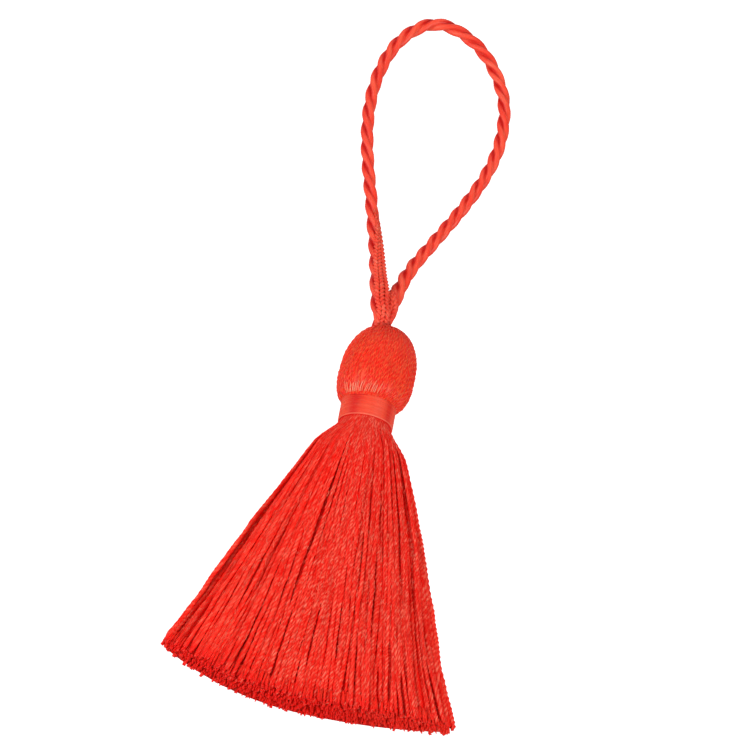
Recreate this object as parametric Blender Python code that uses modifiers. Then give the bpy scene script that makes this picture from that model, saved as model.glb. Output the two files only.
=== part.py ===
"""A cotton tassel with a hanging loop, lying on a flat surface.

A hank of yarn is folded over a three-ply cord. Its folded end is the round head,
a wound thread binds the neck, and the cut ends spread into a skirt.
Metres, +Z up. The tassel lies along Y with the loop towards +Y, and the origin is
on the surface, under the widest part of the head.
"""

import math
import random

import bmesh
import bpy
from mathutils import Vector

MM = 0.001
GAP = 0.3 * MM  # clearance between neighbouring pieces

# The head: a dome, widest at y = 0, pressed a little flat where it lies.
HEAD_RADIUS = 7.25 * MM
HEAD_FLAT_DEPTH = 0.35 * MM
AXIS_Z = HEAD_RADIUS - HEAD_FLAT_DEPTH
HEAD_LEAN = 0.4 * MM  # the head sits this far to the right of the neck
HEAD_TILT = 0.04  # and leans a little further right towards its tip
HEAD_DOME = 10.4 * MM  # from the widest part to the tip of the dome
HEAD_DOME_POWER = 2.3
HEAD_SHOULDER = 7.2 * MM  # from the widest part down to the neck
HEAD_SHOULDER_POWER = 3.0
HEAD_EYE_Y = 9.95 * MM  # the flat eye where the cord goes in, just below the tip
HEAD_YARNS = 36  # ribs raised round the head
HEAD_RIB = 0.16 * MM
HEAD_ROWS = 13

# The binding: a wound band with a ridge for each course of thread.
BINDING_TOP = -5.85 * MM
BINDING_HEIGHT = 4.65 * MM
BINDING_RADIUS = 5.25 * MM
BINDING_THICKNESS = 0.45 * MM
BINDING_COURSES = 7
BINDING_RIDGE = 0.09 * MM
BINDING_STEPS = 32

# The skirt's roots: a plug in the neck, and a grid of strands fused into its end.
PLUG_RADIUS = BINDING_RADIUS - BINDING_THICKNESS - GAP
PLUG_SIDES = 36
ROOT_Y = BINDING_TOP - BINDING_HEIGHT - 0.1 * MM
ROOT_RADIUS = 4.3 * MM
ROOT_PITCH = 0.6 * MM
ROOT_DEPTH = 1.0 * MM  # how far a strand's root reaches into the plug
BEND_OUT = 0.15 * MM  # the strands start to fan out just outside the plug

# The fan: each strand's tip lies on an arc, in layers that rest on one another.
REACH = 56.9 * MM
REACH_MORE_RIGHT = 4.2 * MM  # the right-hand edge reaches this much further
FAN_MIDDLE = math.radians(-2.6)
FAN_HALF = math.radians(28.4)
FAN_BOW = (0.046, 0.012)  # outward bow of a strand: in the middle, and more to the right
FAN_FLARE = (0.021, 0.016)  # the same for its S-shaped flare
FAN_SPRING = 0.078  # how far the strands spring apart just below the binding
FAN_SPRING_END = 0.1
STRANDS_ABREAST = 3  # this many rows of the neck lie side by side in a layer
ABREAST_FROM = 0.15  # share of the length where they begin to sink side by side
ABREAST_BY = 0.6
LAYER_PITCH = 1.55 * MM
SETTLE_LOWEST = 3.0  # the lower layers come down sooner than the upper ones
SETTLE_STEP = 0.32

# One strand: a lock of yarn, square in section, which widens towards its cut end.
STRAND_ROOT = 0.37 * MM
STRAND_TIP = 1.05 * MM
STRAND_WIDENS_FROM = 0.2
STRAND_STATIONS = (0.0, 0.13, 0.32, 0.55, 0.78, 1.0)
SHORTER_UNDER = 1.0 * MM  # the strands that lie on the surface are this much shorter
LENGTH_SPREAD = 0.9 * MM
SIDEWAYS_SPREAD = 0.1 * MM
HEIGHT_SPREAD = 0.15 * MM
SEED = 11

# The hanging loop: three plies twisted together, left-handed.
CORD_PLIES = 3
CORD_RADIUS = 1.24 * MM
CORD_LAY = 11.7 * MM  # length of one full turn
CORD_START = math.radians(54)  # how far the plies are turned where the left leg begins
CORD_STEP = 1.2 * MM
CORD_GROOVE = 0.60  # radius in the groove, as a share of the radius on a ply
CORD_SHOULDER = 0.88
ROUTE_SAMPLES = 40  # points read on the smooth curve between two of the route's own
# x, y and z in millimetres, from the left leg's root, over the crown, to the right leg's
LOOP_ROUTE = (
    (-1.20, 10.25, 8.00),
    (-1.35, 12.8, 7.95),
    (-2.10, 15.3, 7.30),
    (-2.85, 19.5, 5.75),
    (-3.80, 24.5, 3.75),
    (-4.75, 29.5, 2.05),
    (-5.80, 34.0, 1.33),
    (-7.25, 39.8, 1.25),
    (-9.00, 46.5, 1.25),
    (-10.35, 53.0, 1.25),
    (-11.00, 59.5, 1.25),
    (-10.70, 65.6, 1.25),
    (-9.30, 71.5, 1.25),
    (-6.90, 76.0, 1.25),
    (-3.30, 79.3, 1.25),
    (0.60, 80.1, 1.25),
    (5.00, 78.6, 1.25),
    (9.00, 75.6, 1.25),
    (12.20, 71.3, 1.25),
    (14.50, 66.0, 1.25),
    (15.30, 60.0, 1.25),
    (14.90, 54.0, 1.25),
    (13.20, 47.8, 1.25),
    (10.40, 41.2, 1.25),
    (7.90, 36.2, 1.25),
    (5.40, 31.3, 1.40),
    (3.35, 27.0, 2.15),
    (1.75, 22.0, 3.60),
    (0.80, 17.0, 4.95),
    (0.20, 13.3, 5.60),
    (-0.05, 10.25, 5.70),
)

RED = (0.80, 0.032, 0.018, 1.0)


def clear_scene():
    for obj in list(bpy.data.objects):
        bpy.data.objects.remove(obj)


def cotton(name, roughness):
    material = bpy.data.materials.new(name)
    material.use_nodes = True
    shader = material.node_tree.nodes["Principled BSDF"]
    shader.inputs["Base Color"].default_value = RED
    shader.inputs["Roughness"].default_value = roughness
    shader.inputs["Metallic"].default_value = 0.0
    return material


def add_object(name, data, collection, material):
    obj = bpy.data.objects.new(name, data)
    obj.data.materials.append(material)
    collection.objects.link(obj)
    return obj


def head_radius(y):
    """Radius of the head at y, before its ribs."""
    if y >= 0:
        return HEAD_RADIUS * (1 - (y / HEAD_DOME) ** HEAD_DOME_POWER) ** (1 / HEAD_DOME_POWER)
    return HEAD_RADIUS * (1 - (-y / HEAD_SHOULDER) ** HEAD_SHOULDER_POWER) ** (1 / HEAD_SHOULDER_POWER)


def head_stations():
    """(y, radius) of each ring, evenly spaced by angle from the eye to the neck."""
    bottom = BINDING_TOP + GAP / 2
    stations = []
    for row in range(HEAD_ROWS + 1):
        share = (1 - math.cos(math.pi * row / HEAD_ROWS)) / 2
        y = bottom + (HEAD_EYE_Y - bottom) * share
        stations.append((y, head_radius(y)))
    return stations


def build_head(collection, material):
    """A sphere primitive drawn out to the head's profile, with a rib for each yarn."""
    mesh = bpy.data.meshes.new("head")
    bm = bmesh.new()
    columns = 2 * HEAD_YARNS
    bmesh.ops.create_uvsphere(bm, u_segments=columns, v_segments=HEAD_ROWS + 2, radius=1)
    stations = head_stations()
    levels = sorted({round(v.co.z, 5) for v in bm.verts})
    for v in bm.verts:
        level = levels.index(round(v.co.z, 5)) - 1
        pole = level < 0 or level > HEAD_ROWS
        row = min(max(level, 0), HEAD_ROWS)
        y, radius = stations[row]
        turn = math.atan2(v.co.y, v.co.x)
        groove = round(turn / math.tau * columns) % 2
        fade = math.sqrt(max(math.sin(math.pi * row / HEAD_ROWS), 0))
        reach = 0 if pole else radius - HEAD_RIB * fade * groove
        lean = HEAD_LEAN + HEAD_TILT * y
        v.co = Vector((lean + reach * math.cos(turn), y, AXIS_Z + reach * math.sin(turn)))
        v.co.z = max(v.co.z, 0)
    bm.normal_update()
    bmesh.ops.recalc_face_normals(bm, faces=bm.faces)
    bm.to_mesh(mesh)
    bm.free()
    mesh.shade_smooth()
    return add_object("head", mesh, collection, material)


def build_binding(collection, material):
    """A turned band round the neck: its profile is spun about the tassel's axis."""
    course = BINDING_HEIGHT / BINDING_COURSES
    inner = BINDING_RADIUS - BINDING_THICKNESS
    outline = [(inner, 0.0)]
    for i in range(2 * BINDING_COURSES + 1):
        radius = BINDING_RADIUS - BINDING_RIDGE * (1 - i % 2)
        outline.append((radius, -i * course / 2))
    outline.append((inner, -BINDING_HEIGHT))
    mesh = bpy.data.meshes.new("binding")
    points = [(x, 0, z) for x, z in outline]
    edges = [(i, (i + 1) % len(points)) for i in range(len(points))]
    mesh.from_pydata(points, edges, [])
    obj = add_object("binding", mesh, collection, material)
    screw = obj.modifiers.new("Turn", "SCREW")
    screw.axis = "Z"
    screw.steps = screw.render_steps = BINDING_STEPS
    screw.use_merge_vertices = True
    screw.merge_threshold = 0.00001
    screw.use_smooth_shade = True
    obj.rotation_euler = (math.radians(-90), 0, 0)
    obj.location = (0, BINDING_TOP, AXIS_Z)
    return obj


def smoothstep(low, high, value):
    t = min(max((value - low) / (high - low), 0), 1)
    return t * t * (3 - 2 * t)


def spread_of(share, side):
    """How far a strand has moved from its root to its tip's side, share along it."""
    bow = (FAN_BOW[0] + FAN_BOW[1] * side) * math.sin(math.pi * share)
    flare = (FAN_FLARE[0] + FAN_FLARE[1] * side) * math.sin(math.tau * share)
    spring = FAN_SPRING * smoothstep(0, FAN_SPRING_END, share) * (1 - share) ** 2
    return share + bow + flare + spring


def strand_width(share):
    return STRAND_ROOT + (STRAND_TIP - STRAND_ROOT) * smoothstep(STRAND_WIDENS_FROM, 1, share)


def strand_routes():
    """The centre line of each strand, as a list of (point, width)."""
    rng = random.Random(SEED)
    columns = round(2 * ROOT_RADIUS / ROOT_PITCH)
    last = columns * STRANDS_ABREAST - 1
    routes = []
    for column in range(columns):
        x_root = (column - (columns - 1) / 2) * ROOT_PITCH
        rows = round(2 * math.sqrt(ROOT_RADIUS**2 - x_root**2) / ROOT_PITCH)
        for row in range(rows):
            layer, abreast = divmod(row, STRANDS_ABREAST)
            brick = 0.25 if layer % 2 else -0.25  # each layer covers the gaps of the last
            side = 2 * (column * STRANDS_ABREAST + abreast + brick) / last - 1
            routes.append(strand_route(rng, x_root, side, row, rows))
    return routes


def strand_route(rng, x_root, side, row, rows):
    """One strand: side is its place across the fan, from -1 at the left to 1."""
    layer, abreast = divmod(row, STRANDS_ABREAST)
    reach = REACH + REACH_MORE_RIGHT * max(side, 0) ** 2
    angle = FAN_MIDDLE + FAN_HALF * side
    x_tip = reach * math.sin(angle)
    y_bend = ROOT_Y - BEND_OUT
    y_tip = y_bend - reach * math.cos(angle)
    shorter = 0 if layer else SHORTER_UNDER
    cut = 1 + (LENGTH_SPREAD * rng.uniform(-1, 1) - shorter) / reach
    drift = SIDEWAYS_SPREAD * rng.uniform(-1, 1)
    lift = HEIGHT_SPREAD * rng.uniform(-1, 1) if layer else 0
    middle = (STRANDS_ABREAST - 1) / 2
    group_z = AXIS_Z + (layer * STRANDS_ABREAST + middle - (rows - 1) / 2) * ROOT_PITCH
    stacked = (abreast - middle) * ROOT_PITCH
    settle = SETTLE_LOWEST - SETTLE_STEP * layer
    route = [(Vector((x_root, ROOT_Y + ROOT_DEPTH, group_z + stacked)), STRAND_ROOT)]
    for station in STRAND_STATIONS:
        share = station * cut
        width = strand_width(share)
        x = x_root + (x_tip - x_root) * spread_of(share, side) + drift * share
        y = y_bend + (y_tip - y_bend) * share
        sunk = 1 - (1 - min(share, 1)) ** settle
        z = group_z + (width / 2 + layer * LAYER_PITCH + lift - group_z) * sunk
        z += stacked * (1 - smoothstep(ABREAST_FROM, ABREAST_BY, share))
        route.append((Vector((x, y, max(z, width / 2))), width))
    return route


def build_skirt(collection, helpers, material):
    """A plug inside the binding, with every strand's root fused into its end."""
    top = BINDING_TOP - GAP / 2
    bpy.ops.mesh.primitive_cylinder_add(
        vertices=PLUG_SIDES,
        radius=PLUG_RADIUS,
        depth=top - ROOT_Y,
        location=(0, (top + ROOT_Y) / 2, AXIS_Z),
        rotation=(math.radians(90), 0, 0),
    )
    plug = bpy.context.object
    for owner in list(plug.users_collection):
        owner.objects.unlink(plug)
    plug.name = plug.data.name = "skirt"
    plug.data.materials.append(material)
    collection.objects.link(plug)
    plug.data.transform(plug.matrix_world)
    plug.matrix_world.identity()
    strands = build_strands(helpers)
    join = plug.modifiers.new("Roots", "BOOLEAN")
    join.operation = "UNION"
    join.object = strands
    return plug


def build_strands(helpers):
    """Every strand in one mesh: four-sided tubes, flat side down."""
    curve = bpy.data.curves.new("strands", "CURVE")
    curve.dimensions = "3D"
    curve.twist_mode = "Z_UP"
    curve.bevel_depth = 1.0
    curve.bevel_resolution = 0
    curve.use_fill_caps = True
    for route in strand_routes():
        spline = curve.splines.new("POLY")
        spline.points.add(len(route) - 1)
        for point, (place, width) in zip(spline.points, route, strict=True):
            point.co = (*place, 1)
            point.radius = width / math.sqrt(2)
            point.tilt = math.radians(45)
    guide = bpy.data.objects.new("strand_lines", curve)
    helpers.objects.link(guide)
    strands = mesh_of(guide, "strands", helpers)
    strands.hide_render = True
    strands.display_type = "WIRE"
    return strands


def mesh_of(curve_object, name, collection):
    """The curve as a welded mesh object in its place. The curve is removed."""
    bpy.context.view_layer.update()
    graph = bpy.context.evaluated_depsgraph_get()
    mesh = bpy.data.meshes.new_from_object(curve_object.evaluated_get(graph))
    bm = bmesh.new()
    bm.from_mesh(mesh)
    bmesh.ops.remove_doubles(bm, verts=bm.verts, dist=0.000001)
    bmesh.ops.recalc_face_normals(bm, faces=bm.faces)
    bm.to_mesh(mesh)
    bm.free()
    obj = bpy.data.objects.new(name, mesh)
    obj.matrix_world = curve_object.matrix_world
    collection.objects.link(obj)
    bpy.data.objects.remove(curve_object)
    return obj


def smooth_route(points, step):
    """Points about step apart on a Catmull-Rom curve through the given ones."""
    ends = [points[0] * 2 - points[1], *points, points[-1] * 2 - points[-2]]
    fine = []
    for a, b, c, d in zip(ends, ends[1:], ends[2:], ends[3:]):
        for i in range(ROUTE_SAMPLES):
            t = i / ROUTE_SAMPLES
            curved = (a * 2 - b * 5 + c * 4 - d) * t**2 + (b * 3 - a - c * 3 + d) * t**3
            fine.append((b * 2 + (c - a) * t + curved) / 2)
    fine.append(points[-1])
    lengths = [0.0]
    for a, b in zip(fine, fine[1:]):
        lengths.append(lengths[-1] + (b - a).length)
    count = round(lengths[-1] / step)
    even, at = [], 0
    for i in range(count + 1):
        target = lengths[-1] * i / count
        while at < len(fine) - 2 and lengths[at + 1] < target:
            at += 1
        share = (target - lengths[at]) / (lengths[at + 1] - lengths[at])
        even.append(fine[at].lerp(fine[at + 1], min(share, 1)))
    return even


def build_loop(collection, helpers, material):
    """A section with a lobe for each ply, carried along the route, turning once in each lay."""
    section = bpy.data.curves.new("cord_section", "CURVE")
    section.dimensions = "2D"
    outline = section.splines.new("POLY")
    lobe = (CORD_GROOVE, CORD_SHOULDER, 1.0, CORD_SHOULDER)
    shares = lobe * CORD_PLIES
    outline.points.add(len(shares) - 1)
    for i, share in enumerate(shares):
        turn = -math.tau * i / len(shares)
        radius = CORD_RADIUS * share
        outline.points[i].co = (radius * math.cos(turn), radius * math.sin(turn), 0, 1)
    outline.use_cyclic_u = True
    bevel = bpy.data.objects.new("cord_section", section)
    bevel.hide_render = True
    helpers.objects.link(bevel)

    curve = bpy.data.curves.new("hanging_loop", "CURVE")
    curve.dimensions = "3D"
    curve.twist_mode = "Z_UP"
    curve.bevel_mode = "OBJECT"
    curve.bevel_object = bevel
    curve.use_fill_caps = True
    route = smooth_route([Vector(p) * MM for p in LOOP_ROUTE], CORD_STEP)
    spline = curve.splines.new("POLY")
    spline.points.add(len(route) - 1)
    for i, place in enumerate(route):
        spline.points[i].co = (*place, 1)
        spline.points[i].tilt = -(CORD_START + math.tau * i * CORD_STEP / CORD_LAY)
    return add_object("hanging_loop", curve, collection, material)


def main():
    clear_scene()
    collection = bpy.data.collections.new("cotton_tassel")
    helpers = bpy.data.collections.new("helpers")
    for made in (collection, helpers):
        bpy.context.scene.collection.children.link(made)
    build_head(collection, cotton("head_yarn", 0.5))
    build_binding(collection, cotton("binding_thread", 0.35))
    build_skirt(collection, helpers, cotton("skirt_yarn", 0.5))
    build_loop(collection, helpers, cotton("twisted_cord", 0.45))


main()
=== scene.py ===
"""The looks of the cotton tassel: twisted yarns, a wound binding and a three-ply cord.

It lies along Y with the loop towards +Y. Lengths are in metres, and MM turns
millimetres into them. Every yarn is a closed tube of its own: of two plies on the
head and on the cord's feet, and of three in the skirt.
"""

import math
import random

import bpy
import numpy as np
from mathutils import Matrix, Vector


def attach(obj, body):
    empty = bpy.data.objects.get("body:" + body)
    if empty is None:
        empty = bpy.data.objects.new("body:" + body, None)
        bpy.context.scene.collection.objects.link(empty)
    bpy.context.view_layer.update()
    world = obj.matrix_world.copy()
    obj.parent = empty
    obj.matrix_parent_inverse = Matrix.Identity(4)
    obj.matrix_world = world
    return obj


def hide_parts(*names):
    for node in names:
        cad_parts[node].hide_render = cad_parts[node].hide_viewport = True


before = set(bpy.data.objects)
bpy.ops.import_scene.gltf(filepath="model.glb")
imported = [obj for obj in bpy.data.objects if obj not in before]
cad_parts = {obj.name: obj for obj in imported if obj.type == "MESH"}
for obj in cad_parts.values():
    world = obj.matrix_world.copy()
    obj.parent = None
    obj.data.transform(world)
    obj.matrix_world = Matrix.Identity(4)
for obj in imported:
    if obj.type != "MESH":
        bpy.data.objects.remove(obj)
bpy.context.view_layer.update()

MM = 0.001
CLEARANCE = 0.02 * MM  # a yarn stays this far above the surface

# The camera: the tassel is seen from 65 degrees above its cut end, rolled a little.
CAMERA_ELEVATION = math.radians(65)
CAMERA_ROLL = math.radians(11)
CAMERA_DISTANCE = 1.0
CAMERA_TARGET = Vector((0, 0, 0.0069))
CAMERA_SLIDE = (0.19 * MM, 0.755 * MM)  # to the camera's right, and up
VIEW_WIDTH = 141.8 * MM  # what the picture's width takes in at the target
SENSOR = 36.0
CLIP_START = 0.01

# The head's profile, as it is packed, and the yarns that run over it.
HEAD_RADIUS = 7.25 * MM
AXIS_Z = 6.9 * MM
HEAD_LEAN = 0.4 * MM
HEAD_TILT = 0.04
HEAD_DOME = 10.4 * MM
HEAD_DOME_POWER = 2.3
HEAD_SHOULDER = 7.2 * MM
HEAD_SHOULDER_POWER = 3.0
HEAD_EYE_Y = 9.95 * MM
HEAD_TUCK_Y = -5.75 * MM
HEAD_YARNS = 84
HEAD_YARN_PITCH = 0.54 * MM  # from one yarn to the next at the widest part
HEAD_YARN_WIDTH = 0.66 * MM
HEAD_YARN_POINTS = 140
HEAD_LOOSE_YARNS = 44
HEAD_EYE = ((10.15, 0.9), (10.3, 1.5), (10.25, 2.1))  # y and radius in millimetres
HEAD_TUCK = ((-6.0, 5.45), (-6.35, 5.0))  # the same, where a yarn tucks in above the neck
HEAD_PROFILE_POINTS = 240
HEAD_LOWEST = 0.3 * MM  # it is pressed flat where it lies
HEAD_TWIST = 0.16  # how far round, in radians, a yarn goes from the eye to the neck
HEAD_NARROWEST = 0.42  # of its width, where the yarns crowd at the eye
HEAD_SUNK = (0.28, 0.34)  # millimetres that a yarn lies inside the profile
HEAD_LAY = (2.1, 2.9)  # millimetres in one turn of the plies
HEAD_FLECKS = (0.55 * MM, -0.5, 0.62)  # their length, and the least and the most darkness
HEAD_CREST_HIGHLIGHT = (0.10, 0.8 * MM, -5.3 * MM)  # a painted highlight on the crests: how pale, how wide, and where above the neck
HEAD_FRONT = math.radians(118)  # the middle of the side whose crests get the painted highlight
HEAD_FRONT_EDGE = (math.radians(42), math.radians(30))
HEAD_LOOSE_SUNK = 0.30 * MM
HEAD_LOOSE_FROM = (0.05, 0.75)  # where on the way from the eye a loose yarn begins
HEAD_LOOSE_SHARE = (0.15, 0.25)  # and how far it goes
HEAD_LOOSE_SLANT = (0.2, 0.5)
HEAD_TEETH = 17  # thread ends that stand up from the binding, pale as a painted highlight
TEETH_FROM = 146  # degrees round the head, and how far they go on from there
TEETH_ACROSS = 64
TOOTH_LENGTH = (1.0, 2.1)  # millimetres, as the radius
TOOTH_RADIUS = (0.07, 0.13)
TOOTH_TAPER = np.array([1, 1, 1, 1, 0.95, 0.9, 0.8, 0.65, 0.4])
TOOTH_HIGHLIGHT = (0.25, 0.95)
HEAD_CORE_ROWS = 60
HEAD_CORE_SIDES = 64
HEAD_CORE_HOLE = 2.3 * MM  # the core leaves the eye open
HEAD_CORE_SUNK = 0.31 * MM
HEAD_CORE_FULLER = 0.09 * MM  # where the yarns aren't crowded
HEAD_CORE_SHADE = 0.4

BINDING_TOP = -5.85 * MM
BINDING_HEIGHT = 4.65 * MM
BINDING_RADIUS = 5.25 * MM
THREAD_PITCH = 0.235 * MM
THREAD_RADIUS = 0.15 * MM
THREAD_STEPS = 56  # points in one turn of the thread
THREAD_SIDES = 7
THREAD_WANDERS = (  # millimetres, waves in a turn, and phase
    (0.025, 0.37, 1.0),
    (0.02, 1.13, 2.0),
    (0.02, 0.071, 0.4),
)
THREAD_LOOSE = (120, 28)  # degrees round the neck, and how wide: turns lie apart there
THREAD_LOOSE_DOWN = 1.3 * MM
THREAD_LOOSE_SUNK = 0.14 * MM
BINDING_SHADED = ((122, 14), (41, 10))  # the same, for the bands of painted shade
BINDING_CORE_SIDES = 48
BINDING_CORE_ROWS = 12

# The fan of the skirt, as it is packed, with finer yarns.
ROOT_Y = BINDING_TOP - BINDING_HEIGHT - 0.1 * MM
ROOT_RADIUS = 4.8 * MM
ROOT_PITCH = 0.45 * MM
COLUMNS = round(2 * ROOT_RADIUS / ROOT_PITCH)
YARNS_ABREAST = 3  # this many rows of the neck lie side by side in a layer
ACROSS = COLUMNS * YARNS_ABREAST  # yarns side by side in a layer
BEND_OUT = 0.15 * MM
REACH = 56.9 * MM
REACH_MORE_RIGHT = 4.2 * MM
FAN_MIDDLE = math.radians(-2.3)
FAN_HALF = math.radians(28.7)
FAN_BOW = (0.033, -0.001)
FAN_FLARE = (0.015, 0.010)
FAN_SPRING = 0.078
FAN_SPRING_END = 0.1
ABREAST_FROM = 0.15
ABREAST_BY = 0.6
LAYER_PITCH = 0.98 * MM
SETTLE_LOWEST = 3.0
SETTLE_STEP = 0.2
YARN_ROOT = 0.52 * MM
YARN_TIP = 0.88 * MM
YARN_UNEVEN = (0.88, 1.12)  # from yarn to yarn, in width and in twist
YARN_LAY = 4.6  # millimetres in one turn of the plies, at the left
YARN_LAY_LESS = 1.5  # and this much less at the right
YARN_DRIFT = (0.022, 0.034)  # how far a yarn strays across the fan, and one on top
YARN_FLECKS = (1.3 * MM, -0.4, 0.35)  # their length, and less and more dark than the yarn
YARN_CREST_HIGHLIGHT = (0.45 * MM, -0.5, 0.6)  # the length of the pale flecks on the crests, a painted highlight, and the least and the most
YARN_FLANK_SHADE = (0.45, 0.55)  # how much painted shade its flanks get at the neck, and what is added below
TIP_NARROWER = (0.25, 0.5 * MM)  # by how much, and over what length
TIP_CUT = (0.88, 0.38, 2.3 * MM)  # at the left, less at the right, and over what length
SATIN = (-0.75, -0.05)  # the smoother yarns at the left end between these places across
NECK_SHADE = 0.25  # painted shade on the yarns near the neck, where they crowd out under the binding
EDGE_WIDER = (0.25, 0.86, 0.96)  # by how much, and between which places across
SECOND_LIFT = 0.34 * MM  # the second layer fills the gaps between the yarns on top
OVER_LIFT = (-0.15, 0.45)  # millimetres
LOCK_SIZE = (2, 7)  # yarns that cling together
TOP_SHORTER = 1.1 * MM  # the uppermost yarns are cut this much shorter
OVER_YARNS = 70
OVER_NARROWER = 0.88
FILL_YARNS = 26
FUZZ_HAIRS = 320
FUZZ_LENGTH = (0.6, 1.4)  # millimetres, as the radius
FUZZ_RADIUS = (0.035, 0.065)
FUZZ_PALE = (0.05, 0.4)
FUZZ_POINTS = 7
CUT_ENDS = 1600
CUT_END_LENGTH = 2.2 * MM
CUT_END_RADIUS = (0.14, 0.25)  # millimetres
CUT_END_TAPER = np.array([1.0, 1.0, 1.0, 1.0, 0.7])
CUT_END_CUT = (0.95, 0.35, 0.9 * MM)  # as in TIP_CUT
CUT_LESS = (0.1, 0.7)  # between these places across, the cut ends turn less dark
END_SPLIT = (0.35, 1.2 * MM)  # how deep the plies part at the cut, and over what length
CORE_END = (0.964, 0.991)  # the share of the yarns' length, above and underneath
CORE_HALF = 0.95
CORE_DEPTH = 1.25  # in layers below the top one
CORE_ROWS = 44
CORE_COLUMNS = 40

# The hanging cord: three plies pressed together, left-handed.
CORD_RADIUS = 1.25 * MM
CORD_FULLER = 1.06  # the fibres stand out a little
CORD_TURNS = (  # millimetres along the cord, and sixths of a turn by there
    (-2, -7), (7.1, -4), (13, -2), (18.2, 0), (27.3, 4), (43.7, 12),
    (60.6, 20), (76.3, 28), (91.9, 36), (107.4, 44), (122, 52), (136.2, 60),
    (143.7, 64), (151, 68), (155.8, 70), (160, 71.6),
)
CORD_EVENED = 8  # the twist is evened out over this many steps on both sides
CORD_STEP = 0.35 * MM
CORD_SIDES = 72
CORD_YARNS = 14  # fine yarns seen round the cord
CORD_YARN_TURN = 1.12  # they turn this much faster than the plies
CORD_YARN_DEPTH = (0.06, 0.04)  # as a share of the radius, and how much more at the feet
CORD_FLECKS = (1.2 * MM, -0.1, 0.25)
CORD_GROOVE_SHADE_TINT = 0.15
CORD_CRESCENT_SHADE = 0.95  # how much painted shade a groove gets on the side away from the light
CORD_CRESCENT_SHADE_FROM = (0.05, 0.6)  # in depth of the groove
CORD_CRESCENT_SHADE_FACING = (-0.1, 0.55)
CORD_PLY = 0.52  # a ply's radius, as a share of the cord's
CORD_INSIDE = 2.1 * MM  # how far it goes on into the head
CORD_WIDEST = 6 * MM  # from the head to where the untwisted legs are widest
CORD_WIDER = 0.18
CORD_WIDENS = (9 * MM, 5 * MM)  # over this length up the leg, and down to the head
CORD_SHADED = np.array([-0.78, 0.55, 0.30])  # the way its side in painted shade faces, away from the light
ROUTE_SAMPLES = 40
# Fine yarns laid up each leg from the head: angles round the leg, and how far they go.
PLAITS = {
    "left": ((8.0, 38.0, 68.0, 98.0), 29 * MM),
    "right": ((62.0, 92.0, 122.0, 30.0), 9 * MM),
}
PLAIT_MIDDLE = 55.0  # where round the leg the yarns meet at their upper end
PLAIT_PITCH = 1.9 * MM
PLAIT_WIDTH = (0.84 * MM, 1.12 * MM)  # at the upper end, and at the head
PLAIT_OUT = (0.28 * MM, 3.0 * MM, 7.5 * MM)  # how far out they bulge, over what, and where
PLAIT_OPEN = 0.55  # the share of their length over which they spread from the middle
PLAIT_DEPTH = (0.62, 0.42)  # of the leg's radius at the upper end, and what is added below
PLAIT_DIVE = 0.14  # the share of their length over which they come out of the leg
PLAIT_GROOVE_SHADE_TINT = 0.25
PLAIT_FLECKS = (0.45 * MM, -0.5, 0.25)
PLAIT_PALE = (0.5 * MM, -0.8, 0.3)
LOOP_ROUTE = (
    (-1.20, 10.25, 8.00),
    (-1.35, 12.8, 7.95),
    (-2.10, 15.3, 7.30),
    (-2.85, 19.5, 5.75),
    (-3.80, 24.5, 3.75),
    (-4.75, 29.5, 2.05),
    (-5.80, 34.0, 1.38),
    (-7.25, 39.8, 1.32),
    (-9.00, 46.5, 1.32),
    (-10.35, 53.0, 1.32),
    (-11.00, 59.5, 1.32),
    (-10.70, 65.6, 1.32),
    (-9.30, 71.5, 1.32),
    (-6.90, 76.0, 1.32),
    (-3.30, 79.3, 1.32),
    (0.60, 80.1, 1.32),
    (5.00, 78.6, 1.32),
    (9.00, 75.6, 1.32),
    (12.20, 71.3, 1.32),
    (14.50, 66.0, 1.32),
    (15.30, 60.0, 1.32),
    (14.90, 54.0, 1.32),
    (13.20, 47.8, 1.32),
    (10.40, 41.2, 1.32),
    (7.90, 36.2, 1.32),
    (5.40, 31.3, 1.45),
    (3.35, 27.0, 2.15),
    (1.75, 22.0, 3.60),
    (0.80, 17.0, 4.95),
    (0.20, 13.3, 5.60),
    (-0.05, 10.25, 5.70),
)

# Linear colours of the dyed cotton. The groove, crescent and shade reds and the head's groove red
# are painted shade; the pale red is a painted highlight on crests, thread ends and loose hairs,
# and a random pale speckle on the plaits.
RED_GROOVE_SHADE = (0.70, 0.0050, 0.0015, 1.0)
RED_CRESCENT_SHADE = (0.56, 0.0030, 0.0008, 1.0)
RED_HEAD_GROOVE_SHADE = (0.86, 0.0060, 0.0015, 1.0)
RED_SHADE = (0.92, 0.0020, 0.0004, 1.0)
RED_CUT = (0.80, 0.0080, 0.0050, 1.0)
RED_HIGHLIGHT_AND_PALE = (1.0, 0.31, 0.20, 1.0)
FLOOR_WHITE = (0.45, 0.45, 0.45, 1.0)
FLOOR_GLOW = 0.95

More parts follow.
